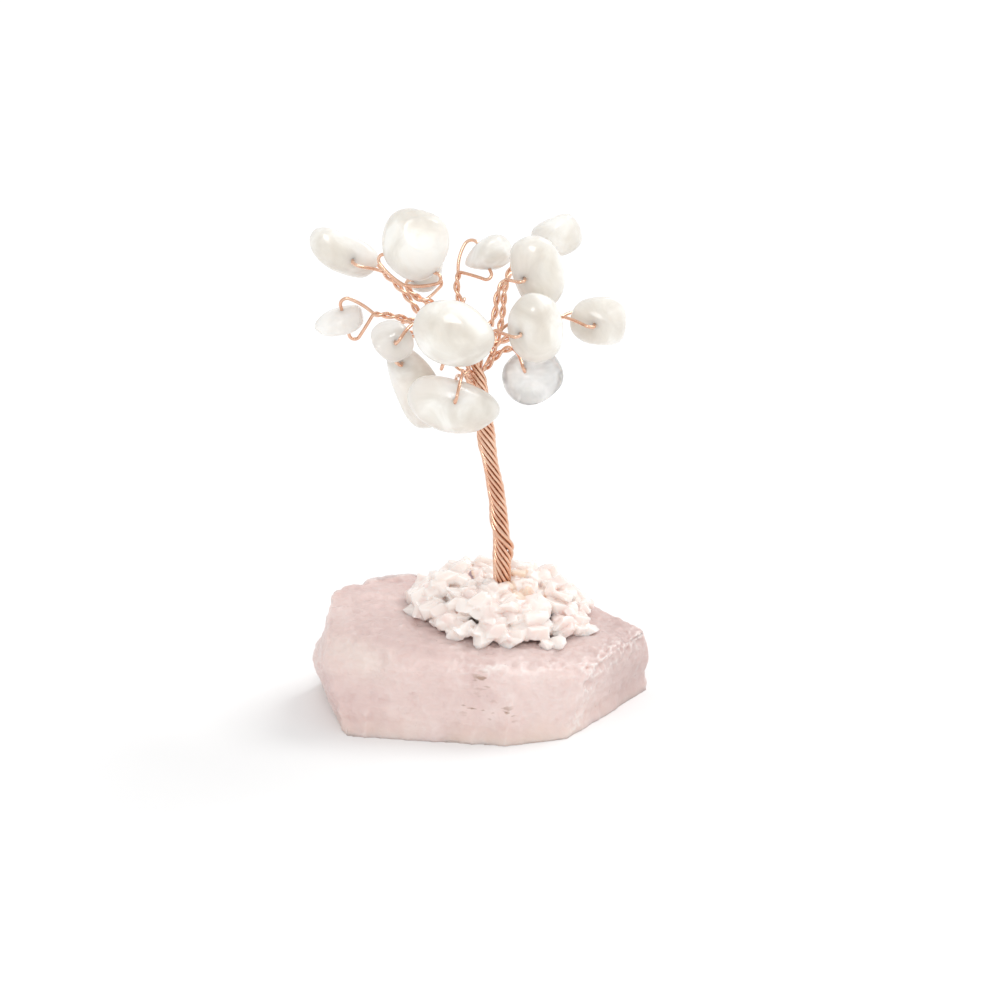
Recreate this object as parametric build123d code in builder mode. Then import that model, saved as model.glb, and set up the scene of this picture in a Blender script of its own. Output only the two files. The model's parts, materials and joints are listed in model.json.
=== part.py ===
from build123d import *

# A gemstone tree: drilled stone beads on twisted wire twigs, a trunk of twisted
# wires, a rough stone base and a pile of stone chips round the trunk's foot.
# Millimetres and degrees, +Z up, the front of the tree towards -Y. The origin is
# on the table, straight below the hole that the trunk is glued into.

import os
import random
from math import atan2, ceil, cos, degrees, pi, radians, sin, sqrt, tan

os.makedirs("parts", exist_ok=True)

# Wire
wire_diameter = 0.55
strand_gap = 0.10
pair_gap = 0.10
trunk_lay = 14.0
pair_lay = 4.6

# Trunk
outer_strands = 10
inner_strands = 4
trunk_bend_start = 25.0
trunk_bend_radius = 60.0
trunk_lean = 8.5
twig_splay = 3.3
twig_rise = 2.3
bend_gap = 0.44

# Base stone
stone_height = 15.0
stone_fall_right = 0.09
stone_fall_front = 0.08
stone_middle = 7.0
socket_depth = 9.0
socket_clearance = 0.35

# Chips and glue
pile_stretch = 1.18
chip_gap = 0.30
chip_floor = 0.25
glue_length = 25.0
glue_width = 20.0
glue_top_length = 14.0
glue_top_width = 11.0
glue_height = 3.6
glue_clearance = 0.05

# Beads
bead_bore_clearance = 0.10
mouth_run = 0.30
loop_clearance = 1.10
loop_flare = 25.0
loop_widest = 84.0

wire_radius = wire_diameter / 2
pair_radius = (wire_diameter + pair_gap) / 2
bore_radius = wire_radius + bead_bore_clearance
inner_ring = (wire_diameter + strand_gap) / (2 * sin(pi / inner_strands))
lay_turn = 2 * pi / trunk_lay
outer_touch = (wire_diameter + strand_gap) / (2 * sin(pi / outer_strands))
outer_ring = max(
    outer_touch * sqrt(1 + (lay_turn * outer_touch) ** 2),
    inner_ring + wire_diameter + strand_gap,
)
trunk_radius = outer_ring + wire_radius
sleeve_radius = trunk_radius + glue_clearance
socket_radius = sleeve_radius + socket_clearance
trunk_foot = stone_height - socket_depth + 0.3

# Each flat broken side of the stone: the way it faces, its lean and its reach at mid height.
# The last three take off the soft upper edge at the front.
stone_sides = [
    (-98.8, 9.0, 21.2),
    (-73.0, 6.0, 21.1),
    (-34.0, -8.0, 21.0),
    (5.0, -2.0, 25.4),
    (60.0, 8.0, 14.8),
    (80.0, 6.0, 15.4),
    (105.0, 4.0, 18.2),
    (138.0, 7.0, 25.4),
    (178.0, 18.0, 32.4),
    (192.0, -24.0, 32.4),
    (222.0, -4.0, 32.2),
    (222.0, 42.0, 37.0),
    (-98.8, 48.0, 25.9),
    (-73.0, 45.0, 24.7),
]

# Each ring of chips: its count, inner and outer radius, floor, and least and greatest height
chip_rings = {
    "chips_inner": (7, 2.1, 5.2, 0.0, 5.0, 6.2),
    "chips_middle": (12, 5.5, 9.3, 0.0, 2.9, 3.3),
    "chips_outer": (19, 9.6, 13.2, 0.0, 1.9, 3.1),
    "chips_upper": (11, 5.9, 10.0, 3.55, 1.7, 2.5),
}

# Each twig and its bead. ring, slot and leaves: the trunk strand and the height at
# which it leaves the trunk. hole: the middle of the bead's bore. stem: azimuth and
# elevation in which the wire meets the bead. roll: turn of the bore about the stem.
# size: the bead along the stem, across it and along the bore. edge: from the
# bead's near end to the bore. taper and bow: how egg-shaped and how curved it is.
twigs = {
    "leaf": dict(
        ring="outer", slot=5, leaves=56.5, hole=(-24.5, 7.5, 74.8), stem=(180, 27),
        roll=0, size=(12.2, 7.2, 5.1), edge=4.2, taper=-0.15, bow=0.4,
    ),
    "left_small": dict(
        ring="outer", slot=0, leaves=62.4, hole=(-25.6, -2.5, 66.9), stem=(180, -14),
        roll=82, size=(8.8, 7.0, 4.8), edge=3.5, taper=-0.1, bow=0.5,
    ),
    "top_round": dict(
        ring="inner", slot=0, leaves=65.0, hole=(-14.8, -0.5, 75.9), stem=(0, 78),
        roll=62, size=(11.8, 9.4, 11.4), edge=2.6, taper=0.1, bow=0.0,
    ),
    "top_behind": dict(
        ring="outer", slot=4, leaves=56.9, hole=(-13.0, 13.0, 69.3), stem=(100, 72),
        roll=30, size=(8.6, 7.6, 6.2), edge=2.2, taper=0.05, bow=0.0,
    ),
    "top_triangle": dict(
        ring="inner", slot=3, leaves=62.8, hole=(-2.9, 7.2, 74.7), stem=(0, 30),
        roll=50, size=(8.8, 7.2, 5.4), edge=3.6, taper=0.15, bow=0.0,
    ),
    "front_oval": dict(
        ring="outer", slot=8, leaves=57.4, hole=(-7.9, -11.0, 67.3), stem=(-90, 20),
        roll=72, size=(8.4, 13.8, 10.6), edge=2.2, taper=0.0, bow=0.0,
    ),
    "left_upper": dict(
        ring="outer", slot=9, leaves=60.0, hole=(-17.2, -7.6, 65.5), stem=(180, -43),
        roll=0, size=(6.4, 7.6, 5.0), edge=2.6, taper=0.1, bow=0.0,
    ),
    "left_long": dict(
        ring="outer", slot=7, leaves=58.6, hole=(-16.4, -0.8, 59.6), stem=(0, -65),
        roll=0, size=(15.8, 7.6, 5.8), edge=3.0, taper=0.15, bow=-0.6,
    ),
    "bottom": dict(
        ring="outer", slot=6, leaves=54.6, hole=(-7.6, -9.6, 56.5), stem=(180, -74),
        roll=0, size=(8.8, 15.4, 7.0), edge=2.4, taper=-0.15, bow=0.3,
    ),
    "right_upper": dict(
        ring="inner", slot=2, leaves=63.0, hole=(3.7, 1.2, 73.6), stem=(0, 15),
        roll=0, size=(8.6, 12.8, 6.2), edge=2.0, taper=-0.1, bow=0.3,
    ),
    "top_right": dict(
        ring="outer", slot=2, leaves=57.2, hole=(6.8, 12.5, 76.3), stem=(0, 20),
        roll=0, size=(8.8, 7.2, 6.0), edge=2.0, taper=0.1, bow=0.2,
    ),
    "right_middle": dict(
        ring="inner", slot=1, leaves=61.75, hole=(3.0, -5.6, 66.4), stem=(0, 5),
        roll=0, size=(9.2, 11.8, 6.6), edge=2.2, taper=0.0, bow=-0.3,
    ),
    "lower_clear": dict(
        ring="outer", slot=1, leaves=54.5, hole=(3.8, 4.0, 57.2), stem=(0, -56),
        roll=0, size=(9.4, 10.2, 6.8), edge=2.4, taper=0.0, bow=0.0,
    ),
    "far_right": dict(
        ring="outer", slot=3, leaves=59.5, hole=(15.2, 5.0, 64.6), stem=(0, -8),
        roll=0, size=(9.6, 8.8, 5.8), edge=4.0, taper=0.1, bow=-0.4,
    ),
}


def direction(azimuth, elevation):
    """A unit vector from an azimuth and an elevation."""
    flat = cos(radians(elevation))
    return Vector(
        flat * cos(radians(azimuth)), flat * sin(radians(azimuth)), sin(radians(elevation))
    )


def trunk_axis(along):
    """The trunk's centre line and its direction, at a length measured up from the table."""
    bend_length = trunk_bend_radius * radians(trunk_lean)
    turn = min(max(along - trunk_bend_start, 0.0), bend_length) / trunk_bend_radius
    rest = max(along - trunk_bend_start - bend_length, 0.0)
    below = min(along, trunk_bend_start)
    point = Vector(
        -trunk_bend_radius * (1 - cos(turn)) - rest * sin(turn),
        0,
        below + trunk_bend_radius * sin(turn) + rest * cos(turn),
    )
    return point, Vector(-sin(turn), 0, cos(turn))


def strand_angle(twig, along):
    """The angle of a strand round the trunk's centre line."""
    count = outer_strands if twig["ring"] == "outer" else inner_strands
    start = 0.0 if twig["ring"] == "outer" else radians(10.0)
    return start + 2 * pi * twig["slot"] / count - lay_turn * along


def strand_point(twig, along):
    """A point of a strand's centre line."""
    centre, up = trunk_axis(along)
    radius = outer_ring if twig["ring"] == "outer" else inner_ring
    side = Vector(0, 1, 0).cross(up)
    angle = strand_angle(twig, along)
    return centre + side * (radius * cos(angle)) + Vector(0, 1, 0) * (radius * sin(angle))


def strand_tangent(twig, along):
    """The direction of a strand's centre line."""
    return (strand_point(twig, along + 0.01) - strand_point(twig, along - 0.01)).normalized()


def biarc(start, leave, end, arrive):
    """Two tangent arcs from one point and direction to another, as edges."""
    span = end - start
    both = leave + arrive
    open_angle = 1 - leave.dot(arrive)
    reach = span.dot(both)
    if open_angle < 1e-9:
        share = span.length / 2
    else:
        share = (sqrt(reach**2 + 2 * open_angle * span.dot(span)) - reach) / (2 * open_angle)
    first = start + leave * share
    last = end - arrive * share
    middle = (first + last) * 0.5
    through = (last - first).normalized()
    edges = []
    for begin, heading, finish in ((start, leave, middle), (middle, through, end)):
        chord = (finish - begin).normalized()
        if heading.cross(chord).length < 1e-5:
            edges.append(Edge.make_line(begin, finish))
        else:
            edges.append(Edge.make_tangent_arc(begin, heading, finish))
    return edges


def joined(points, tangents):
    """A smooth run of arcs through points with given directions."""
    edges = []
    for i in range(len(points) - 1):
        edges += biarc(points[i], tangents[i], points[i + 1], tangents[i + 1])
    return edges


def bead_frame(twig):
    """The bead's stem, across and bore directions."""
    stem = direction(*twig["stem"])
    level = stem.cross(Vector(0, 0, 1)).normalized()
    bore = level.rotate(Axis((0, 0, 0), stem), twig["roll"])
    return stem, bore.cross(stem), bore


def bead_share(twig, place):
    """The bead's girth at a place along its stem, as a share of the greatest."""
    return (1 - abs(place) ** 2.3) ** (1 / 2.3) * (1 + twig["taper"] * place)


def bead_middle(twig):
    """The middle of the bead."""
    stem = direction(*twig["stem"])
    return Vector(*twig["hole"]) + stem * (twig["size"][0] / 2 - twig["edge"])


def half_bore(twig):
    """Half of the bore's length through the bead."""
    return twig["size"][2] / 2 * bead_share(twig, 2 * twig["edge"] / twig["size"][0] - 1)


def twig_root(twig):
    """The point where a twig bends at the trunk."""
    centre, _ = trunk_axis(twig["leaves"] + twig_rise)
    angle = strand_angle(twig, twig["leaves"])
    return centre + Vector(cos(angle), sin(angle), 0) * twig_splay


def twig_tip(twig):
    """The point where the twisted pair opens into the loop through the bead."""
    stem = direction(*twig["stem"])
    return Vector(*twig["hole"]) - stem * (twig["edge"] + loop_clearance)


def root_direction(twig):
    """The way a twig sets out from the trunk: halfway between outwards and its bead."""
    angle = strand_angle(twig, twig["leaves"])
    outwards = Vector(cos(angle), sin(angle), 0.6).normalized()
    to_tip = (twig_tip(twig) - twig_root(twig)).normalized()
    return (outwards * 0.35 + to_tip).normalized()


def pair_legs(twig):
    """Points and directions of the two twisted legs of a twig, from root to tip."""
    stem, across, bore = bead_frame(twig)
    root = twig_root(twig)
    tip = twig_tip(twig)
    set_out = root_direction(twig)
    arrive = ((tip - root).normalized() + stem * 0.8).normalized()
    axis = Wire(biarc(root, set_out, tip, arrive))
    length = axis.length
    quarters = max(3, round(4 * length / pair_lay))
    steps = 6 * quarters
    frames = [None] * (steps + 1)
    beside = bore
    for i in range(steps, -1, -1):
        heading = axis.tangent_at(length * i / steps, position_mode=PositionMode.LENGTH)
        beside = (beside - heading * beside.dot(heading)).normalized()
        frames[i] = (heading, beside)
    wide = degrees(atan2(half_bore(twig), twig["edge"] + loop_clearance)) + loop_flare
    spread = radians(min(wide, loop_widest))
    legs = []
    for sign in (1, -1):
        points = []
        tangents = []
        for i in range(0, steps + 1, 6):
            place = length * i / steps
            if i == 0:
                place = bend_gap / 2
            heading, beside = frames[i]
            angle = (quarters - i / 6) * pi / 2
            out = beside * cos(angle) + heading.cross(beside) * sin(angle)
            round_way = beside * sin(angle) - heading.cross(beside) * cos(angle)
            centre = axis.position_at(place, position_mode=PositionMode.LENGTH)
            points.append(centre + out * (sign * pair_radius))
            turn = pair_radius * quarters * pi / 2 / length
            tangents.append((heading + round_way * (sign * turn)).normalized())
        tangents[0] = frames[0][0]
        tangents[-1] = (frames[-1][0] * cos(spread) + bore * (sign * sin(spread))).normalized()
        legs.append((points, tangents))
    return legs


def twig_path(twig):
    """The whole run of a twig's wire: out, through the bead and back."""
    (out_points, out_tangents), (back_points, back_tangents) = pair_legs(twig)
    stem, across, bore = bead_frame(twig)
    hole = Vector(*twig["hole"])
    run = half_bore(twig) + mouth_run
    near = hole + bore * run
    far = hole - bore * run
    edges = joined(out_points, out_tangents)
    edges += biarc(out_points[-1], out_tangents[-1], near, bore * -1)
    edges.append(Edge.make_line(near, far))
    edges += biarc(far, bore * -1, back_points[-1], back_tangents[-1] * -1)
    edges += joined(back_points[::-1], [t * -1 for t in back_tangents[::-1]])
    return edges, out_points[0], out_tangents[0]


def strand_path(twig):
    """The run of a trunk strand: from the socket up the trunk and out to its twig."""
    length = twig["leaves"] - trunk_foot
    count = ceil(4 * length / trunk_lay)
    places = [trunk_foot + length * i / count for i in range(count + 1)]
    points = [strand_point(twig, p) for p in places]
    tangents = [strand_tangent(twig, p) for p in places]
    (out_points, out_tangents), _ = pair_legs(twig)
    edges = joined(points, tangents)
    end = out_points[0] - out_tangents[0] * bend_gap
    edges += biarc(points[-1], tangents[-1], end, out_tangents[0])
    return edges, points[0], tangents[0]


def stone_top_plane():
    """The plane of the stone's top."""
    facing = Vector(stone_fall_right, -stone_fall_front, 1).normalized()
    return Plane(origin=(0, 0, stone_height), x_dir=(1, 0, -stone_fall_right), z_dir=facing)


top_plane = stone_top_plane()
chance = random.Random(11)

# Base stone
with BuildPart() as base_stone:
    with Locations((0, 0, stone_height)):
        Box(100, 100, 2 * stone_height)
    for azimuth, lean, reach in stone_sides:
        outward = direction(azimuth, lean)
        level = direction(azimuth, 0)
        split(
            bisect_by=Plane(origin=level * reach + Vector(0, 0, stone_middle), z_dir=outward),
            keep=Keep.BOTTOM,
        )
    split(bisect_by=top_plane, keep=Keep.BOTTOM)
    with Locations((0, 0, stone_height - socket_depth)):
        Cylinder(
            socket_radius, 3 * socket_depth, align=(Align.CENTER, Align.CENTER, Align.MIN),
            mode=Mode.SUBTRACT,
        )
base_stone.part.label = "base_stone"
export_step(base_stone.part, "parts/base_stone.step")


def chip(place, size):
    """One angular chip: a block with its corners broken off at chance angles."""
    length, width, height = size
    with BuildPart(place) as made:
        Box(length, width, height, align=(Align.CENTER, Align.CENTER, Align.MIN))
        middle = Vector(0, 0, height / 2)
        for i in range(6):
            azimuth = 60 * i + chance.uniform(-22, 22)
            tilt = chance.uniform(-30, 48)
            facing = direction(azimuth, tilt)
            half = abs(facing.X) * length + abs(facing.Y) * width + abs(facing.Z) * height
            origin = middle + facing * (half / 2 * chance.uniform(0.60, 0.78))
            face = Plane(
                origin=place.from_local_coords(origin),
                z_dir=place.from_local_coords(facing) - place.from_local_coords(Vector(0, 0, 0)),
            )
            split(bisect_by=face, keep=Keep.BOTTOM)
    return made.part.solid()


# Chips
chip_solids = []
for name, (count, inner, outer, floor, low, high) in chip_rings.items():
    width = 2 * inner * tan(pi / count) - chip_gap
    start = chance.uniform(0, 360)
    with BuildPart() as ring:
        for i in range(count):
            angle = start + 360 * i / count
            radius = (inner + outer) / 2
            spot = Vector(
                radius * cos(radians(angle)) * pile_stretch,
                radius * sin(radians(angle)),
                floor + chip_floor,
            )
            facing = top_plane.from_local_coords(direction(angle, 0)) - top_plane.origin
            place = Plane(
                origin=top_plane.from_local_coords(spot), x_dir=facing, z_dir=top_plane.z_dir
            )
            size = (outer - inner, width, chance.uniform(low, high))
            made = chip(place, size)
            chip_solids.append(made)
            add(made)
    ring.part.label = name
    export_step(ring.part, f"parts/{name}.step")

# Glue bed with its sleeve down the socket
with BuildPart() as glue_bed:
    with BuildSketch(top_plane.offset(0.0)):
        Ellipse(glue_length / 2, glue_width / 2)
    with BuildSketch(top_plane.offset(glue_height)):
        Ellipse(glue_top_length / 2, glue_top_width / 2)
    loft(ruled=True)
    with Locations((0, 0, stone_height - socket_depth + glue_clearance)):
        Cylinder(
            socket_radius - glue_clearance, socket_depth + 0.8,
            align=(Align.CENTER, Align.CENTER, Align.MIN),
        )
    with Locations((0, 0, trunk_foot - glue_clearance)):
        Cylinder(
            sleeve_radius, 3 * socket_depth, align=(Align.CENTER, Align.CENTER, Align.MIN),
            mode=Mode.SUBTRACT,
        )
    for made in chip_solids:
        add(made, mode=Mode.SUBTRACT)
glue_bed.part.label = "glue_bed"
export_step(glue_bed.part, "parts/glue_bed.step")

# Trunk strands
for name, twig in twigs.items():
    path, start, heading = strand_path(twig)
    with BuildPart() as strand:
        with BuildSketch(Plane(origin=start, z_dir=heading)):
            Circle(wire_radius)
        sweep(path=Wire(path))
    strand.part.label = f"trunk_wire_{name}"
    export_step(strand.part, f"parts/trunk_wire_{name}.step")

# Twigs
for name, twig in twigs.items():
    path, start, heading = twig_path(twig)
    with BuildPart() as twisted:
        with BuildSketch(Plane(origin=start, z_dir=heading)):
            Circle(wire_radius)
        sweep(path=Wire(path))
    twisted.part.label = f"twig_wire_{name}"
    export_step(twisted.part, f"parts/twig_wire_{name}.step")

# Beads
bead_places = (-0.996, -0.94, -0.72, -0.3, 0.2, 0.65, 0.92, 0.996)
for name, twig in twigs.items():
    stem, across, bore = bead_frame(twig)
    middle = bead_middle(twig)
    length, breadth, depth = twig["size"]
    with BuildPart() as bead:
        for place in bead_places:
            share = bead_share(twig, place)
            bow = twig["bow"] * (place**2 - 0.33)
            centre = middle + stem * (place * length / 2) + across * bow
            with BuildSketch(Plane(origin=centre, x_dir=across, z_dir=stem)):
                Ellipse(breadth / 2 * share, depth / 2 * share)
        loft()
        with Locations(Plane(origin=twig["hole"], z_dir=bore)):
            Cylinder(bore_radius, 3 * depth, mode=Mode.SUBTRACT)
    bead.part.label = f"bead_{name}"
    export_step(bead.part, f"parts/bead_{name}.step")
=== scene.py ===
# The looks of the gemstone tree: tumbled quartz beads, rose-gold wire, a broken
# rose-quartz block and a heap of quartz chips. Shapes are worked out in
# millimetres and set down in metres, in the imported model's own frame.

import json
import math
import random

import bmesh
import bpy
import numpy as np
from mathutils import Matrix, Vector, noise
from mathutils.kdtree import KDTree


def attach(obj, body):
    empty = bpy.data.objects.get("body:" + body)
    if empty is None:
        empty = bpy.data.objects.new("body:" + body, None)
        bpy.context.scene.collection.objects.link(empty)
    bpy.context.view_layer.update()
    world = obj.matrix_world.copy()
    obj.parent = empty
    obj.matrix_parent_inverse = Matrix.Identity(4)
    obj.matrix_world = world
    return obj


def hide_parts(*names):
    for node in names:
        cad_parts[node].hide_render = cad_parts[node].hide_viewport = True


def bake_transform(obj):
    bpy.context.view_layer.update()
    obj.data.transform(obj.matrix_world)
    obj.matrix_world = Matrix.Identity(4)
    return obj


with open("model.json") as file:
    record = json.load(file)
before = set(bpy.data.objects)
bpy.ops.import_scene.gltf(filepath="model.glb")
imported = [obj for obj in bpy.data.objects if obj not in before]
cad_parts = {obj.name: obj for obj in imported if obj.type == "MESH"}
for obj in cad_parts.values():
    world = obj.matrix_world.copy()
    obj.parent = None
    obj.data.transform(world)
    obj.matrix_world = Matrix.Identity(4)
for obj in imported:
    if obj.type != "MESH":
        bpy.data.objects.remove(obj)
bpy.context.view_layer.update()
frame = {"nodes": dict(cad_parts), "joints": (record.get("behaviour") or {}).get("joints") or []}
nodes = frame["nodes"]
scene = bpy.context.scene
MM = 0.001

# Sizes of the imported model
wire_radius = 0.275
bore_radius = 0.375
stone_height = 15.0
stone_fall_right = 0.09
stone_fall_front = 0.08

# Fineness of the meshes: voxel size and rounds of smoothing
bead_voxel = 0.16
bead_smoothing = 14
stone_voxel = 0.34
stone_smoothing = 4
heap_voxel = 0.15
heap_smoothing = 1
heap_face_share = 0.22


# Shared tools

def linked(name, mesh):
    """A new object for a mesh, in the scene."""
    thing = bpy.data.objects.new(name, mesh)
    scene.collection.objects.link(thing)
    return thing


def evenly_meshed(name, mesh, voxel, smoothing, share=1.0):
    """A new object with a shape in millimetres made over in small even faces, or a share of them."""
    thing = linked(name, mesh)
    voxels = thing.modifiers.new("voxels", "REMESH")
    voxels.mode = "VOXEL"
    voxels.voxel_size = voxel
    if smoothing:
        soft = thing.modifiers.new("soft", "SMOOTH")
        soft.factor = 0.5
        soft.iterations = smoothing
    if share < 1:
        fewer = thing.modifiers.new("fewer", "DECIMATE")
        fewer.ratio = share
    graph = bpy.context.evaluated_depsgraph_get()
    made = bpy.data.meshes.new_from_object(thing.evaluated_get(graph))
    thing.modifiers.clear()
    thing.data = made
    return thing


def even_copy(name, node, voxel, smoothing):
    """A new object with a CAD node's shape in small even faces, in millimetres."""
    mesh = nodes[node].data.copy()
    mesh.transform(Matrix.Scale(1000, 4))
    return evenly_meshed(name, mesh, voxel, smoothing)


def points_of(thing):
    """The points of a mesh as rows of x, y and z."""
    flat = np.empty(len(thing.data.vertices) * 3)
    thing.data.vertices.foreach_get("co", flat)
    return flat.reshape(-1, 3)


def normals_of(thing):
    """The way each point of a mesh faces."""
    flat = np.empty(len(thing.data.vertices) * 3)
    thing.data.vertex_normals.foreach_get("vector", flat)
    return flat.reshape(-1, 3)


def set_points(thing, points):
    """Moves a mesh's points."""
    thing.data.vertices.foreach_set("co", np.asarray(points, np.float32).ravel())
    thing.data.update()


def set_down(thing, points, body, slot, material, *stands_for):
    """Finishes a piece: metres, smooth faces, material, body and the CAD nodes it stands for."""
    set_points(thing, points * MM)
    thing.data.shade_smooth()
    thing.data.materials.clear()
    thing.data.materials.append(material)
    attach(thing, body)
    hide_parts(*stands_for)


def lumps(points, size, seed, octaves=3):
    """Smooth chance values, about -1 to 1, at points in millimetres."""
    shift = Vector((17.3 * seed, 5.1 * seed, 11.7 * seed))
    return np.array(
        [noise.fractal(Vector(p) / size + shift, 0.9, 2.0, octaves) for p in points]
    )


def soft_excess(values, softness):
    """Zero below zero and the value itself above, with a rounded turn."""
    scaled = np.clip(values / softness, -40, 40)
    return softness * np.log1p(np.exp(scaled))


def flatten(points, facing, depth, softness):
    """Grinds a flat of a given depth on the side that faces a given way."""
    way = np.array(Vector(facing).normalized())
    along = points @ way
    return points - np.outer(soft_excess(along - along.max() + depth, softness), way)


def evened(thing, points, rounds):
    """The points after rounds of averaging with their neighbours."""
    pairs = np.empty(len(thing.data.edges) * 2, int)
    thing.data.edges.foreach_get("vertices", pairs)
    first, second = pairs.reshape(-1, 2).T
    ends = np.concatenate([first, second])
    others = np.concatenate([second, first])
    count = np.bincount(ends, minlength=len(points))[:, None]
    for i in range(rounds):
        sums = [np.bincount(ends, points[others, k], len(points)) for k in range(3)]
        points = 0.5 * points + 0.5 * np.stack(sums, 1) / count
    return points


def from_path(points, path):
    """The distance of each point from a run of straight lines."""
    nearest = np.full(len(points), 1000.0)
    for begin, finish in zip(path, path[1:]):
        run = np.subtract(finish, begin)
        share = np.clip((points - begin) @ run / (run @ run), 0, 1)
        away = points - begin - np.outer(share, run)
        nearest = np.minimum(nearest, np.linalg.norm(away, axis=1))
    return nearest


def near(distance, reach):
    """One at no distance, falling smoothly to nothing past the reach."""
    return np.exp(-((distance / reach) ** 2))


def keep_values(thing, name, values):
    """Stores a value for each point, for the materials to read."""
    kept = thing.data.attributes.new(name, "FLOAT", "POINT")
    kept.data.foreach_set("value", np.clip(values, 0, 1).astype(np.float32))


def eased(values, low, high):
    """Goes smoothly from zero at a low value to one at a high one."""
    share = np.clip((values - low) / (high - low), 0, 1)
    return share * share * (3 - 2 * share)


def wander(places, size, seed):
    """Smooth chance values, about -1 to 1, along a line measured in millimetres."""
    table = np.arange(-5.0, 95.0, 0.25)
    values = [noise.noise(Vector((seed * 3.7, seed * 1.9, t / size))) for t in table]
    return np.interp(places, table, values)


# Materials

def new_material(name):
    """A material with its node tree and main shader."""
    made = bpy.data.materials.new(name)
    made.use_nodes = True
    return made, made.node_tree, made.node_tree.nodes["Principled BSDF"]


def add_node(tree, kind, values):
    """A node with the given settings and input values."""
    made = tree.nodes.new(kind)
    for key, value in values.items():
        if key in made.inputs:
            made.inputs[key].default_value = value
        else:
            setattr(made, key, value)
    return made


def noise_node(tree, place, scale, detail=4.0, roughness=0.55, distortion=0.0):
    """A noise texture at a place output; the scale is in features to the metre."""
    made = add_node(
        tree, "ShaderNodeTexNoise",
        {"Scale": scale, "Detail": detail, "Roughness": roughness, "Distortion": distortion},
    )
    tree.links.new(place, made.inputs["Vector"])
    return made.outputs["Fac"]


def ramp_node(tree, factor, stops):
    """A colour ramp with (place, colour) stops."""
    made = tree.nodes.new("ShaderNodeValToRGB")
    stop_list = made.color_ramp.elements
    while len(stop_list) < len(stops):
        stop_list.new(0.5)
    for stop, (place, colour) in zip(stop_list, stops):
        stop.position = place
        stop.color = (*colour, 1.0)
    tree.links.new(factor, made.inputs["Fac"])
    return made.outputs["Color"]


def range_node(tree, value, low, high, new_low, new_high):
    """A value moved from one range to another."""
    made = add_node(
        tree, "ShaderNodeMapRange",
        {"From Min": low, "From Max": high, "To Min": new_low, "To Max": new_high},
    )
    tree.links.new(value, made.inputs["Value"])
    return made.outputs["Result"]


def mix_node(tree, factor, first, second):
    """A mix of two colours, each a colour or an output."""
    made = tree.nodes.new("ShaderNodeMix")
    made.data_type = "RGBA"
    tree.links.new(factor, made.inputs["Factor"])
    sockets = [s for s in made.inputs if s.type == "RGBA"]
    for socket, colour in zip(sockets, (first, second)):
        if isinstance(colour, tuple):
            socket.default_value = (*colour, 1.0)
        else:
            tree.links.new(colour, socket)
    return [s for s in made.outputs if s.type == "RGBA"][0]


def bump_node(tree, shader, height, strength, distance):
    """Fine relief on a shader from a height output."""
    made = add_node(tree, "ShaderNodeBump", {"Strength": strength, "Distance": distance})
    tree.links.new(height, made.inputs["Height"])
    tree.links.new(made.outputs["Normal"], shader.inputs["Normal"])


def milky_quartz():
    """Cloudy, polished quartz with faint veils and a faint blush."""
    made, tree, shader = new_material("milky_quartz")
    place = tree.nodes.new("ShaderNodeTexCoord").outputs["Object"]
    veils = noise_node(tree, place, 150.0, 4.0, 0.5, 0.6)
    cloud = ramp_node(
        tree, veils,
        [(0.34, (0.77, 0.725, 0.66)), (0.50, (0.82, 0.785, 0.725)), (0.62, (0.90, 0.88, 0.83))],
    )
    patches = noise_node(tree, place, 60.0, 2.0, 0.5)
    blush = range_node(tree, patches, 0.50, 0.70, 0.0, 0.6)
    colour = mix_node(tree, blush, cloud, (0.84, 0.765, 0.72))
    tree.links.new(colour, shader.inputs["Base Color"])
    grain = noise_node(tree, place, 700.0, 3.0)
    tree.links.new(range_node(tree, grain, 0.3, 0.7, 0.08, 0.18), shader.inputs["Roughness"])
    clear = range_node(tree, veils, 0.30, 0.60, 0.20, 0.04)
    tree.links.new(clear, shader.inputs["Transmission Weight"])
    shader.inputs["Subsurface Weight"].default_value = 1.0
    shader.inputs["Subsurface Radius"].default_value = (1.0, 0.95, 0.90)
    shader.inputs["Subsurface Scale"].default_value = 0.006
    shader.inputs["IOR"].default_value = 1.54
    bump_node(tree, shader, noise_node(tree, place, 420.0, 3.0), 0.04, 0.0002)
    return made


def clear_quartz():
    """Nearly clear quartz with a few milky veils inside."""
    made, tree, shader = new_material("clear_quartz")
    place = tree.nodes.new("ShaderNodeTexCoord").outputs["Object"]
    veils = noise_node(tree, place, 130.0, 3.0, 0.5, 0.8)
    colour = ramp_node(tree, veils, [(0.40, (0.97, 0.955, 0.915)), (0.60, (0.99, 0.98, 0.95))])
    tree.links.new(colour, shader.inputs["Base Color"])
    clear = range_node(tree, veils, 0.40, 0.62, 0.75, 0.15)
    tree.links.new(clear, shader.inputs["Transmission Weight"])
    shader.inputs["Subsurface Weight"].default_value = 0.9
    shader.inputs["Subsurface Radius"].default_value = (1.0, 0.96, 0.92)
    shader.inputs["Subsurface Scale"].default_value = 0.004
    shader.inputs["Roughness"].default_value = 0.05
    shader.inputs["IOR"].default_value = 1.54
    bump_node(tree, shader, noise_node(tree, place, 240.0, 2.0), 0.04, 0.0002)
    return made


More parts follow.
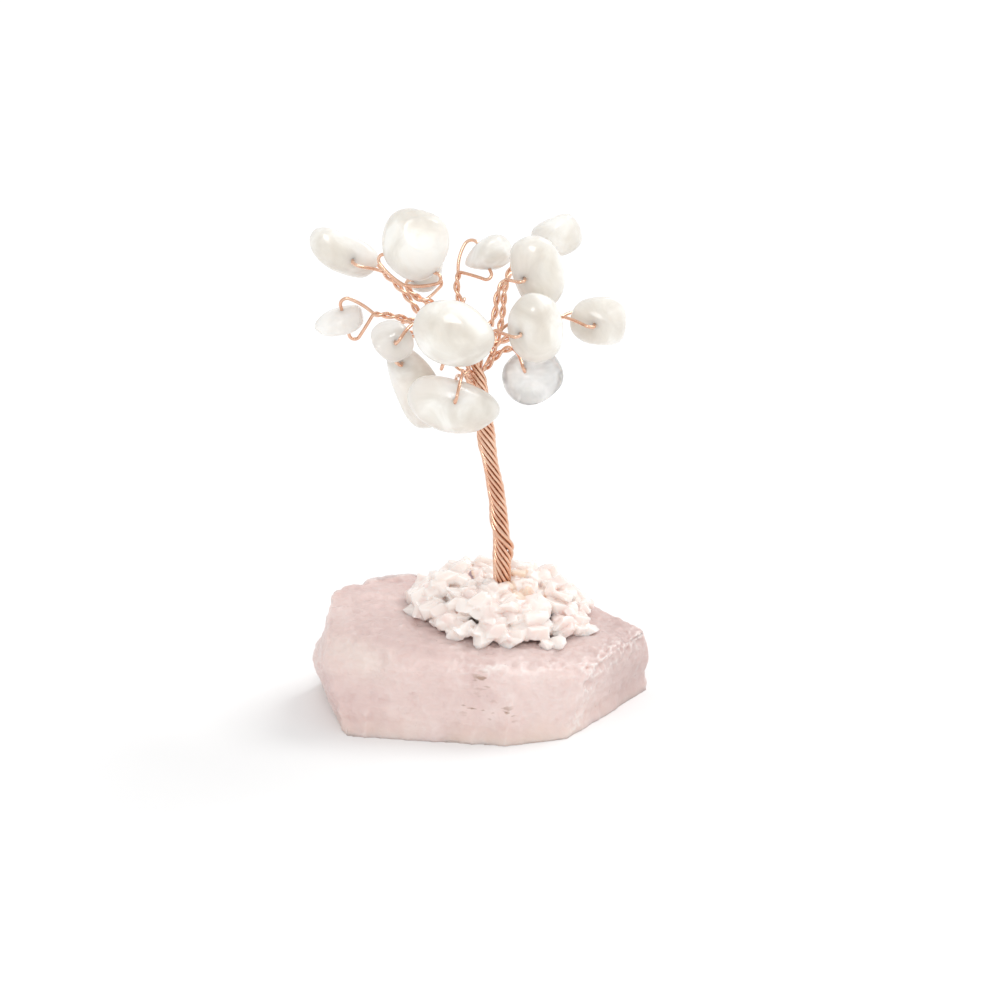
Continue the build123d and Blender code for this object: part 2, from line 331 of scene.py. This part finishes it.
def rose_gold():
    """Bright, soft rose-gold coloured wire with faint drawing marks."""
    made, tree, shader = new_material("rose_gold")
    place = tree.nodes.new("ShaderNodeTexCoord").outputs["Object"]
    tone = noise_node(tree, place, 350.0, 3.0)
    colour = ramp_node(tree, tone, [(0.35, (0.78, 0.46, 0.32)), (0.65, (0.88, 0.60, 0.45))])
    tree.links.new(colour, shader.inputs["Base Color"])
    marks = noise_node(tree, place, 2600.0, 2.0)
    tree.links.new(range_node(tree, marks, 0.3, 0.7, 0.16, 0.28), shader.inputs["Roughness"])
    shader.inputs["Metallic"].default_value = 1.0
    bump_node(tree, shader, marks, 0.08, 0.00005)
    return made


def rose_quartz():
    """Rough rose quartz: blushed and cloudy, with pale broken ridges partly brightened by painted
    highlights, a painted glint, painted shade on the right and top, brown specks and a warm foot.
    """
    made, tree, shader = new_material("rose_quartz")
    place = tree.nodes.new("ShaderNodeTexCoord").outputs["Object"]
    clouds = noise_node(tree, place, 55.0, 6.0, 0.6, 0.9)
    blush = ramp_node(
        tree, clouds,
        [(0.32, (0.71, 0.535, 0.51)), (0.50, (0.77, 0.61, 0.575)), (0.66, (0.835, 0.70, 0.665))],
    )
    grain = noise_node(tree, place, 620.0, 5.0, 0.65)
    foot = add_node(tree, "ShaderNodeAttribute", {"attribute_name": "foot"}).outputs["Fac"]
    warmed = mix_node(tree, foot, blush, (0.76, 0.575, 0.49))
    pale = add_node(tree, "ShaderNodeAttribute", {"attribute_name": "pale"}).outputs["Fac"]
    lightened = mix_node(tree, pale, warmed, (0.80, 0.69, 0.64))
    # Painted shade: the right side and the top of the stone are darkened in colour to stand for less
    # light falling there
    painted_shade = add_node(tree, "ShaderNodeAttribute", {"attribute_name": "painted_shade"}).outputs["Fac"]
    with_painted_shade = mix_node(tree, painted_shade, lightened, (0.58, 0.435, 0.41))
    stain = add_node(tree, "ShaderNodeAttribute", {"attribute_name": "stain"}).outputs["Fac"]
    streak_place = add_node(
        tree, "ShaderNodeMapping", {"Scale": (0.35, 0.35, 1.0), "Rotation": (0.0, 0.35, 0.0)}
    )
    tree.links.new(place, streak_place.inputs["Vector"])
    streaks = noise_node(tree, streak_place.outputs["Vector"], 1100.0, 2.0, 0.5)
    dots = range_node(tree, streaks, 0.57, 0.65, 0.0, 1.0)
    speck = add_node(tree, "ShaderNodeMath", {"operation": "MULTIPLY"})
    tree.links.new(dots, speck.inputs[0])
    tree.links.new(stain, speck.inputs[1])
    specked = mix_node(tree, speck.outputs["Value"], with_painted_shade, (0.34, 0.20, 0.13))
    # Pale colour for real wear on crumb crests and cracks, and for painted highlights on the ridge and
    # band and a painted glint
    wear_and_painted_glint = add_node(tree, "ShaderNodeAttribute", {"attribute_name": "wear_and_painted_glint"}).outputs["Fac"]
    colour = mix_node(tree, wear_and_painted_glint, specked, (0.93, 0.885, 0.85))
    tree.links.new(colour, shader.inputs["Base Color"])
    tree.links.new(range_node(tree, grain, 0.3, 0.7, 0.24, 0.52), shader.inputs["Roughness"])
    shader.inputs["Subsurface Weight"].default_value = 0.55
    shader.inputs["Subsurface Radius"].default_value = (1.0, 0.80, 0.74)
    shader.inputs["Subsurface Scale"].default_value = 0.003
    shader.inputs["IOR"].default_value = 1.54
    crack_place = add_node(
        tree, "ShaderNodeMapping", {"Scale": (0.30, 0.30, 1.0), "Rotation": (0.0, 0.45, 0.3)}
    )
    tree.links.new(place, crack_place.inputs["Vector"])
    cracks = noise_node(tree, crack_place.outputs["Vector"], 520.0, 5.0, 0.6, 0.8)
    relief = add_node(tree, "ShaderNodeMath", {"operation": "ADD"})
    tree.links.new(cracks, relief.inputs[0])
    tree.links.new(noise_node(tree, place, 330.0, 7.0, 0.66, 0.5), relief.inputs[1])
    bump_node(tree, shader, relief.outputs["Value"], 0.6, 0.0005)
    return made


def chip_quartz():
    """Small glassy broken chips: clear, milky, blushed, a few tan and a dark one."""
    made, tree, shader = new_material("chip_quartz")
    place = tree.nodes.new("ShaderNodeTexCoord").outputs["Object"]
    tint = add_node(tree, "ShaderNodeAttribute", {"attribute_name": "tint"}).outputs["Fac"]
    colour = ramp_node(
        tree, tint,
        [(0.0, (0.90, 0.83, 0.79)), (0.40, (0.875, 0.785, 0.74)), (0.62, (0.86, 0.73, 0.69)),
         (0.72, (0.83, 0.68, 0.57)), (0.90, (0.76, 0.58, 0.47)), (1.0, (0.42, 0.30, 0.32))],
    )
    tree.links.new(colour, shader.inputs["Base Color"])
    veils = noise_node(tree, place, 450.0, 4.0, 0.6, 0.5)
    gloss = range_node(tree, veils, 0.35, 0.65, 0.08, 0.24)
    tree.links.new(gloss, shader.inputs["Roughness"])
    shader.inputs["Subsurface Weight"].default_value = 1.0
    shader.inputs["Subsurface Radius"].default_value = (1.0, 0.92, 0.87)
    shader.inputs["Subsurface Scale"].default_value = 0.0015
    shader.inputs["IOR"].default_value = 1.54
    bump_node(tree, shader, noise_node(tree, place, 800.0, 3.0), 0.10, 0.00015)
    return made


def warm_glue():
    """Cured clear glue with a warm tint and small lumps."""
    made, tree, shader = new_material("warm_glue")
    place = tree.nodes.new("ShaderNodeTexCoord").outputs["Object"]
    tone = noise_node(tree, place, 420.0, 5.0, 0.6)
    colour = ramp_node(tree, tone, [(0.35, (0.62, 0.42, 0.31)), (0.62, (0.84, 0.68, 0.59))])
    tree.links.new(colour, shader.inputs["Base Color"])
    shader.inputs["Roughness"].default_value = 0.18
    shader.inputs["Subsurface Weight"].default_value = 0.4
    shader.inputs["Subsurface Radius"].default_value = (1.0, 0.8, 0.7)
    shader.inputs["Subsurface Scale"].default_value = 0.0015
    bump_node(tree, shader, noise_node(tree, place, 900.0, 4.0), 0.35, 0.0003)
    return made


milky = milky_quartz()
clear = clear_quartz()
gold = rose_gold()
rose = rose_quartz()
glassy = chip_quartz()
glue = warm_glue()

# Beads: tumbled pebbles with soft ground flats, bored for the wire. Each flat is the
# way it faces, its depth and its softness in millimetres.
bead_flats = {
    "leaf": [((0.2, -1.0, 0.5), 0.5, 0.25), ((-0.3, -0.6, -1.0), 0.4, 0.3)],
    "left_small": [((0.2, -0.2, -1.0), 0.5, 0.2), ((0.75, -0.2, -0.7), 0.3, 0.25),
                   ((-0.7, -0.1, 0.7), 0.4, 0.3), ((0.3, -1.0, 0.4), 0.4, 0.2)],
    "top_round": [((0.10, -0.9, 0.47), 1.0, 0.10), ((-0.6, -0.8, -0.5), 0.4, 0.3)],
    "top_behind": [((0.2, -1.0, -0.3), 0.4, 0.3)],
    "top_triangle": [((-0.1, -0.2, -1.0), 0.9, 0.2), ((-0.85, -0.3, 0.5), 0.7, 0.25),
                     ((0.8, -0.3, 0.5), 0.5, 0.25), ((0.1, -1.0, 0.3), 0.5, 0.2)],
    "front_oval": [((0.0, -0.94, 0.34), 0.45, 0.35), ((-0.6, -1.0, 0.35), 0.30, 0.35),
                   ((0.8, -0.7, -0.5), 0.4, 0.3)],
    "left_upper": [((-0.7, -0.7, 0.4), 0.4, 0.25), ((0.4, -1.0, -0.2), 0.4, 0.25)],
    "left_long": [((-0.5, -1.0, 0.1), 0.5, 0.3), ((0.7, -0.8, 0.3), 0.4, 0.3)],
    "bottom": [((-0.2, -1.0, 0.6), 0.45, 0.25), ((0.3, -0.8, -0.7), 0.4, 0.3)],
    "right_upper": [((0.75, -1.0, 0.2), 0.9, 0.15), ((-0.6, -1.0, 0.1), 0.5, 0.2)],
    "top_right": [((0.3, -1.0, 0.2), 0.6, 0.2), ((0.9, -0.2, 0.5), 0.4, 0.2)],
    "right_middle": [((0.4, -1.0, 0.1), 0.5, 0.25), ((-0.7, -0.8, 0.3), 0.5, 0.25)],
    "lower_clear": [((-0.02, -0.87, 0.49), 0.7, 0.12), ((0.6, -0.9, -0.2), 0.4, 0.3)],
    "far_right": [((0.5, -0.8, 0.7), 0.9, 0.15), ((-0.5, -1.0, -0.4), 0.4, 0.25)],
}
bead_joints = {j["name"].removesuffix("_bead_turn"): j for j in frame["joints"]}
snug_radius = 0.30
mouth_radius = 1.1
worn_depth = 0.06
lump_height = 0.10
lump_size = 4.5
chance_flats = 5
chance_flat_softness = 0.30


def snug_bore(points, joint):
    """Draws the wall of a bead's bore in towards its wire."""
    axis = np.array(Vector(joint["axis"]).normalized())
    away = points - np.array(joint["pos_m"]) * 1000
    away -= np.outer(away @ axis, axis)
    far = np.linalg.norm(away, axis=1)
    share = np.clip((far - bore_radius) / (mouth_radius - bore_radius), 0, 1)
    wanted = snug_radius + share * (mouth_radius - snug_radius)
    change = np.where(far < mouth_radius, wanted - far, 0.0)
    return points + away * (change / np.maximum(far, 0.01))[:, None]


for number, (name, flats) in enumerate(bead_flats.items()):
    glassy_bead = name == "lower_clear"
    pebble = even_copy(f"pebble_{name}", f"bead_{name}", bead_voxel, bead_smoothing)
    shape = points_of(pebble)
    uneven = worn_depth + lump_height * lumps(shape, lump_size, number + 1, 1)
    shape -= normals_of(pebble) * uneven[:, None]
    for facing, depth, softness in flats:
        shape = flatten(shape, facing, depth, softness)
    chance = random.Random(100 + number)
    for i in range(0 if glassy_bead else chance_flats):
        facing = (chance.gauss(0, 1), chance.gauss(0, 1), chance.gauss(0, 1))
        shape = flatten(shape, facing, chance.uniform(0.10, 0.30), chance_flat_softness)
    shape = snug_bore(shape, bead_joints[name])
    bead_finish = clear if glassy_bead else milky
    bead_slot = "clear_quartz" if glassy_bead else "milky_quartz"
    set_down(pebble, shape, f"bead_{name}", bead_slot, bead_finish, f"bead_{name}")

# Wires: the CAD twigs as they are, trunk strands twisted by hand, and the short bend
# of wire that joins each strand to its twig.
for name in nodes:
    if "twig_wire_" in name:
        nodes[name].data.materials.clear()
        nodes[name].data.materials.append(gold)

strand_names = [name.removeprefix("trunk_wire_") for name in nodes if name.startswith("trunk_wire_")]
twist_change = 0.42
oval_change = 0.16
strand_lift = 0.16
trunk_sway = 0.32
strand_reach = 1.2
inner_reach = 0.7
loose_height = 27.7
loose_way = -0.6
loose_lift = 0.45
loose_run = 5.0
strands = {}
for name in strand_names:
    mesh = nodes[f"trunk_wire_{name}"].data.copy()
    mesh.transform(Matrix.Scale(1000, 4))
    strands[name] = linked(f"strand_{name}", mesh)
trunk_points = np.concatenate([points_of(s) for s in strands.values()])
trunk_heights = np.arange(6.0, 54.0, 1.0)
trunk_middles = [
    trunk_points[np.abs(trunk_points[:, 2] - h) < 0.6].mean(0)[:2] for h in trunk_heights
]


def hand_twisted(points, number):
    """The points of a trunk strand, with the uneven lie of a trunk twisted by hand."""
    height = points[:, 2]
    free = eased(height, 15.0, 21.0) * (1 - eased(height, 44.0, 52.0))
    middle = np.stack([np.interp(height, trunk_heights, m) for m in np.transpose(trunk_middles)], 1)
    out = points[:, :2] - middle
    turn = free * twist_change * wander(height, 7.5, 3)
    out = np.stack(
        [out[:, 0] * np.cos(turn) - out[:, 1] * np.sin(turn),
         out[:, 0] * np.sin(turn) + out[:, 1] * np.cos(turn)], 1,
    )
    wide = 1 + free * oval_change * wander(height, 6.0, 5)
    out = out * np.stack([wide, 1 / wide], 1)
    here = out[np.abs(height - loose_height) < 0.5]
    way = math.atan2(here[:, 1].mean(), here[:, 0].mean())
    facing = math.cos(way - loose_way)
    outer = np.linalg.norm(here.mean(0)) > inner_reach
    push = free * strand_lift * np.abs(wander(height, 4.5, 20 + number))
    if outer and facing > 0.8:
        push = push + loose_lift * near(height - loose_height, loose_run)
    out = out * (1 + push / strand_reach)[:, None]
    sway = free * trunk_sway * wander(height, 9.0, 8)
    return np.column_stack([middle[:, 0] + out[:, 0] + sway, middle[:, 1] + out[:, 1], height])


for number, (name, strand) in enumerate(strands.items()):
    twisted = hand_twisted(points_of(strand), number)
    set_down(strand, twisted, "stand", "rose_gold_wire", gold, f"trunk_wire_{name}")


end_search = 1.5
bend_rings = 9
bend_sides = 28
bend_overlap = 0.05


def flat_ends(node, place):
    """The middle of each flat wire end close to a point."""
    groups = {}
    for face in nodes[node].data.polygons:
        if (face.center - place).length < end_search * MM:
            key = tuple(round(x, 2) + 0.0 for x in face.normal)
            groups.setdefault(key, []).append(face)
    ends = []
    for faces in groups.values():
        area = sum(f.area for f in faces)
        if area > 0.5 * math.pi * (wire_radius * MM) ** 2:
            ends.append(sum((f.center * f.area for f in faces), Vector()) / area)
    return ends


def bend_piece(name, root):
    """The soft bend of wire from a trunk strand's end to its twig."""
    start = flat_ends(f"trunk_wire_{name}", root)[0]
    twig_ends = flat_ends(f"twig_wire_{name}", root)
    end = min(twig_ends, key=lambda middle: (middle - start).length)
    run = end - start
    way = run.normalized()
    side = way.orthogonal().normalized()
    other = way.cross(side)
    shape = bmesh.new()
    rows = []
    for i in range(bend_rings):
        centre = start + run * (-bend_overlap + (1 + 2 * bend_overlap) * i / (bend_rings - 1))
        row = []
        for k in range(bend_sides):
            angle = 2 * math.pi * k / bend_sides
            out = side * math.cos(angle) + other * math.sin(angle)
            row.append(shape.verts.new(centre + out * (wire_radius * MM)))
        rows.append(row)
    for low, high in zip(rows, rows[1:]):
        for k in range(bend_sides):
            following = (k + 1) % bend_sides
            shape.faces.new((low[k], low[following], high[following], high[k]))
    mesh = bpy.data.meshes.new(f"bend_{name}")
    shape.to_mesh(mesh)
    shape.free()
    bend = linked(f"bend_{name}", mesh)
    mesh.shade_smooth()
    mesh.materials.append(gold)
    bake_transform(bend)


for joint in frame["joints"]:
    if joint["name"].endswith("_twig_bend"):
        bend_piece(joint["name"].removesuffix("_twig_bend"), Vector(joint["pos_m"]))

# Base stone: broken sides, a soft front edge, bumps round the rim and crumbled ridges
front_edge = [(-30, -11, 15.0), (-22, -17, 14.5), (-10, -19.5, 14.5), (2, -20, 13.5), (12, -17.5, 12.5)]
left_rim = [(-30, -12, 9.0), (-32, -4, 11.0), (-29, 4, 14.0), (-24, 10, 16.0), (-12, 14, 16.5)]
soft_corners = [(24, -4, 12.0), (25, 2, 12.5), (22, 8, 13.0)]
front_corner = [(-29, -13, 12.0), (-26, -18, 0.0)]
broken_ridge = [(24, -2, 12.0), (18.5, -10, 11.3), (15.8, -15, 10.9), (15.5, -17, 6.3), (14, -18, 2.0)]
rough_band = [(-6, -19, 13.6), (2, -19, 13.0), (9, -18, 12.4), (15.5, -15.5, 11.5)]
fracture = [(7.5, -20.0, 10.8), (9.7, -20.0, 9.9), (12.5, -19.2, 7.6), (14.7, -18.0, 5.0)]
# A painted highlight: a glint of reflected light painted pale into the stone's colour along this line
glint_line = [(-3.0, -19.6, 12.4), (0.6, -18.8, 13.3)]
pale_line = [(-26, -13, 13.5), (-22, -16, 12.5)]
stain_lines = [
    [(-6, -21, 7.0), (0.5, -21.5, 5.0)],
    [(-3.8, -20.5, 11.2), (-2.8, -20.5, 11.0)],
    [(-15.4, -21, 5.9), (-15.0, -21, 4.8)],
]

soft_rounds = 110
corner_depth = 1.3
ragged_foot = 1.1


def soft_edges(block):
    """The stone's points, with its edges and corners rounded off by wear."""
    shape = points_of(block)
    softened = evened(block, shape, soft_rounds)
    share = 0.30 + near(from_path(shape, front_edge), 6.0) + near(from_path(shape, soft_corners), 5.0)
    share = share + near(from_path(shape, front_corner), 6.0)
    share = np.clip(share, 0, 1) * eased(shape[:, 2], 0.2, 2.5)
    return shape + (softened - shape) * share[:, None]


def broken_relief(shape, facing, crumbs, by_ridge, by_band):
    """The stone's points, with waves, scallops and crumbs broken out and a ragged foot."""
    by_rim = near(from_path(shape, left_rim), 4.0)
    waves = 0.3 + 0.7 * lumps(shape, 11.0, 41, 2)
    scallops = np.abs(lumps(shape, 5.0, 45, 2))
    fine = lumps(shape, 1.1, 47, 2)
    bumps = 0.5 + lumps(shape, 5.5, 49, 1)
    inward = 0.7 * waves + 0.4 * scallops + by_rim * (1.0 * bumps + 0.5 * scallops) + 0.09 * fine
    inward = inward + crumbs * (0.28 + 0.55 * by_ridge + 0.25 * by_band)
    inward = inward + corner_depth * near(from_path(shape, soft_corners), 3.5)
    inward = np.clip(inward, 0.0, None) * eased(shape[:, 2], 0.0, 3.0)
    ragged = ragged_foot * np.abs(lumps(shape * (1, 1, 0), 6.0, 53, 2))
    ragged = ragged * (1 - eased(shape[:, 2], 1.5, 6.0))
    level = facing * (1, 1, 0)
    broken = shape - facing * inward[:, None] - level * ragged[:, None]
    broken[:, 2] = np.maximum(broken[:, 2], 0.0)
    return broken


def mark_stone(block, shape, facing, crumbs, by_ridge, by_band):
    """Stores where the stone is rubbed pale at broken crests and cracks, where painted highlights and a
    painted glint lie, where it is pale or stained, where painted shade darkens its right and top, and
    where it is warm at its foot.
    """
    # Crest whites on the ridge and band are partly real pale wear and partly painted highlight; the
    # glint is a painted highlight
    crest = np.clip(1.0 - 9.0 * crumbs, 0, 1)
    glint = near(from_path(shape, glint_line), 0.7)
    crack = near(from_path(shape, fracture) + 0.5 * crumbs, 0.35)
    stain = sum(near(from_path(shape, line), 1.5) for line in stain_lines)
    # Painted shade on the right side and on upward faces, not a change in the stone itself
    painted_shade = 0.75 * eased(shape[:, 0], 13, 22) + 0.4 * eased(facing[:, 2], 0.7, 0.95)
    foot = 0.6 * near(shape[:, 2], 3.0) * (0.6 + lumps(shape, 6.0, 51, 2))
    keep_values(block, "wear_and_painted_glint", crest * (0.8 * by_ridge + 0.3 * by_band) + 0.7 * glint + 0.4 * crack)
    keep_values(block, "pale", 0.8 * near(from_path(shape, pale_line), 3.6))
    keep_values(block, "stain", stain)
    keep_values(block, "painted_shade", painted_shade)
    keep_values(block, "foot", foot)


def rough_stone():
    """The rough block that stands for the base stone."""
    block = even_copy("rough_block", "base_stone", stone_voxel, stone_smoothing)
    shape = soft_edges(block)
    set_points(block, shape)
    facing = normals_of(block)
    by_ridge = near(from_path(shape, broken_ridge), 2.4)
    by_band = near(from_path(shape, rough_band), 2.2)
    crumbs = np.abs(lumps(shape, 2.4, 43, 3))
    shape = broken_relief(shape, facing, crumbs, by_ridge, by_band)
    mark_stone(block, shape, facing, crumbs, by_ridge, by_band)
    set_down(block, shape, "stand", "rose_quartz", rose, "base_stone")


rough_stone()

# Chips: a broken shard for each CAD chip, a skin of more over the heap, a bed below the
# skin and a ring round the trunk's foot, all made over as one closed heap
heap_stretch = 1.10
heap_height = 5.3
heap_edge = 13.3
heap_slope = 9.0
skin_shards = 150
bed_shards = 200
foot_shards = 18
dark_chip = (-4.4, 1.5, 20.2)
dark_size = (2.0, 1.4, 1.2)
shard_corners = 14
crisp_angle = 24
round_turn = 6.283
shard_turn = 6.28
chip_rings = ("chips_inner", "chips_middle", "chips_outer", "chips_upper")


def stone_top(x, y):
    """The height of the stone's top in millimetres."""
    return stone_height - stone_fall_right * x + stone_fall_front * y


def chip_boxes(node):
    """The middle and size of each CAD chip in a ring, in millimetres."""
    shape = bmesh.new()
    shape.from_mesh(nodes[node].data)
    bmesh.ops.remove_doubles(shape, verts=shape.verts, dist=0.001 * MM)
    left = set(shape.verts)
    boxes = []
    while left:
        group = [left.pop()]
        for vert in group:
            for edge in vert.link_edges:
                other = edge.other_vert(vert)
                if other in left:
                    left.remove(other)
                    group.append(other)
        spots = np.array([v.co for v in group]) * 1000
        low = spots.min(0)
        high = spots.max(0)
        boxes.append((Vector((low + high) / 2), Vector(high - low)))
    shape.free()
    return sorted(boxes, key=lambda box: tuple(box[0]))


def add_shard(shape, chance, middle, size):
    """Adds one angular broken chip to a mesh."""
    turn = Matrix.Rotation(chance.uniform(0, shard_turn), 4, "Z")
    turn = turn @ Matrix.Rotation(chance.uniform(-0.6, 0.6), 4, "X")
    turn = turn @ Matrix.Rotation(chance.uniform(-0.5, 0.5), 4, "Y")
    corners = []
    for i in range(shard_corners):
        spot = Vector((chance.gauss(0, 1), chance.gauss(0, 1), chance.gauss(0, 1))).normalized()
        reach = [math.copysign(abs(c) ** 0.75, c) * s / 2 for c, s in zip(spot, size)]
        corners.append(shape.verts.new(turn @ Vector(reach) + middle))
    made = bmesh.ops.convex_hull(shape, input=corners)
    left_over = made["geom_interior"] + made["geom_unused"]
    loose = {v for v in left_over if isinstance(v, bmesh.types.BMVert)}
    bmesh.ops.delete(shape, geom=list(loose), context="VERTS")


def chip_tint(chance, middle):
    """A chip's tint: mostly clear or milky, often tan at the front right of the trunk."""
    tan = near(math.hypot(middle.x - 2.5, middle.y + 2.5), 4.0)
    if chance.random() < 0.75 * tan:
        return chance.uniform(0.66, 0.84)
    return chance.uniform(0.0, 0.62)


def skin_spot(chance):
    """A place on the surface of the heap."""
    far = heap_edge * math.sqrt(chance.uniform(0.03, 1.0))
    way = chance.uniform(0, round_turn)
    x = far * math.cos(way) * heap_stretch
    y = far * math.sin(way)
    fall = min(max((far - heap_slope) / (heap_edge - heap_slope), 0.0), 1.0)
    high = heap_height * (1 - 0.78 * fall) + chance.uniform(-1.7, -0.4)
    return Vector((x, y, stone_top(x, y) + high))


def chip_size(chance, lengths, widths, heights):
    """A chance size between the least and greatest length, width and height."""
    return Vector((chance.uniform(*lengths), chance.uniform(*widths), chance.uniform(*heights)))


def skin_chips(chance):
    """Chips over the surface of the heap."""
    made = []
    for i in range(skin_shards):
        size = chip_size(chance, (3.0, 5.4), (2.4, 3.8), (2.0, 3.0))
        made.append((skin_spot(chance), size))
    return made


def bed_chips(chance):
    """Chips that fill the heap below its skin."""
    made = []
    for i in range(bed_shards):
        spot = skin_spot(chance)
        top = stone_top(spot.x, spot.y)
        spot.z = top + (spot.z - top) * chance.uniform(0.6, 1.0)
        made.append((spot, chip_size(chance, (2.8, 4.4), (2.4, 3.6), (1.6, 2.4))))
    return made


def foot_chips(chance):
    """Chips in a ring round the trunk's foot."""
    made = []
    for i in range(foot_shards):
        way = round_turn * (i + chance.uniform(0, 0.6)) / foot_shards
        far = chance.uniform(2.4, 4.4)
        high = stone_height + heap_height + chance.uniform(-0.5, 0.6)
        size = chip_size(chance, (2.2, 3.6), (1.8, 2.8), (1.6, 2.4))
        made.append((Vector((far * math.cos(way), far * math.sin(way), high)), size))
    return made


def chip_heap():
    """All the chips as one closed heap, with a tint for each chip."""
    chance = random.Random(77)
    chips = [box for ring in chip_rings for box in chip_boxes(ring)]
    chips += skin_chips(chance)
    chips += bed_chips(chance)
    chips += foot_chips(chance)
    tints = [chip_tint(chance, middle) for middle, size in chips]
    chips.append((Vector(dark_chip), Vector(dark_size)))
    tints.append(1.0)
    shards = bmesh.new()
    spots = KDTree(len(chips))
    for i, (middle, size) in enumerate(chips):
        add_shard(shards, chance, middle, size * chance.uniform(0.95, 1.25))
        spots.insert(middle, i)
    spots.balance()
    bmesh.ops.recalc_face_normals(shards, faces=shards.faces)
    mesh = bpy.data.meshes.new("shards")
    shards.to_mesh(mesh)
    shards.free()
    heap = evenly_meshed("chip_heap", mesh, heap_voxel, heap_smoothing, heap_face_share)
    shape = points_of(heap)
    keep_values(heap, "tint", np.array([tints[spots.find(p)[1]] for p in shape]))
    set_down(heap, shape, "stand", "quartz_chips", glassy, *chip_rings)
    heap.data.set_sharp_from_angle(angle=math.radians(crisp_angle))


chip_heap()

# Glue
nodes["glue_bed"].data.materials.clear()
nodes["glue_bed"].data.materials.append(glue)

# Studio: the camera's distance is in metres, the point it looks at in millimetres
camera_lens = 129.6
camera_elevation = 20.0
camera_distance = 0.6
look_at = (-0.33, 0.0, 34.9)


def add_lamp(name, aim, strength, breadth):
    """A broad distant lamp that shines in a given direction."""
    lamp = bpy.data.lights.new(name, "SUN")
    lamp.angle = math.radians(breadth)
    lamp.energy = strength
    holder = bpy.data.objects.new(name, lamp)
    scene.collection.objects.link(holder)
    holder.rotation_euler = Vector(aim).to_track_quat("-Z", "Y").to_euler()


def studio():
    """A white floor, soft light from all round and two broad lamps."""
    floor_mesh = bpy.data.meshes.new("floor")
    corners = [(-3, -3, 0), (3, -3, 0), (3, 3, 0), (-3, 3, 0)]
    floor_mesh.from_pydata(corners, [], [(0, 1, 2, 3)])
    floor = linked("floor", floor_mesh)
    made, _, shader = new_material("floor_white")
    shader.inputs["Base Color"].default_value = (0.88, 0.88, 0.88, 1.0)
    shader.inputs["Roughness"].default_value = 0.9
    shader.inputs["Specular IOR Level"].default_value = 0.1
    floor_mesh.materials.append(made)
    sky = bpy.data.worlds.new("studio")
    scene.world = sky
    sky.use_nodes = True
    light = sky.node_tree.nodes["Background"].inputs
    light["Color"].default_value = (1.0, 1.0, 1.0, 1.0)
    light["Strength"].default_value = 0.83
    add_lamp("key_lamp", (-0.55, -0.38, -0.74), 1.2, 32.0)
    add_lamp("fill_lamp", (0.02, 0.76, -0.62), 0.6, 20.0)


def photo_camera():
    """The camera in front, looking down a little."""
    camera = bpy.data.cameras.new("camera")
    camera.sensor_width = 36.0
    camera.lens = camera_lens
    camera.clip_start = 0.01
    camera.clip_end = 20.0
    eye = bpy.data.objects.new("camera", camera)
    scene.collection.objects.link(eye)
    tilt = math.radians(camera_elevation)
    away = Vector((0, -math.cos(tilt), math.sin(tilt)))
    eye.location = Vector(look_at) * MM + away * camera_distance
    eye.rotation_euler = (math.pi / 2 - tilt, 0.0, 0.0)
    scene.camera = eye


studio()
photo_camera()
scene.view_settings.view_transform = "Standard"
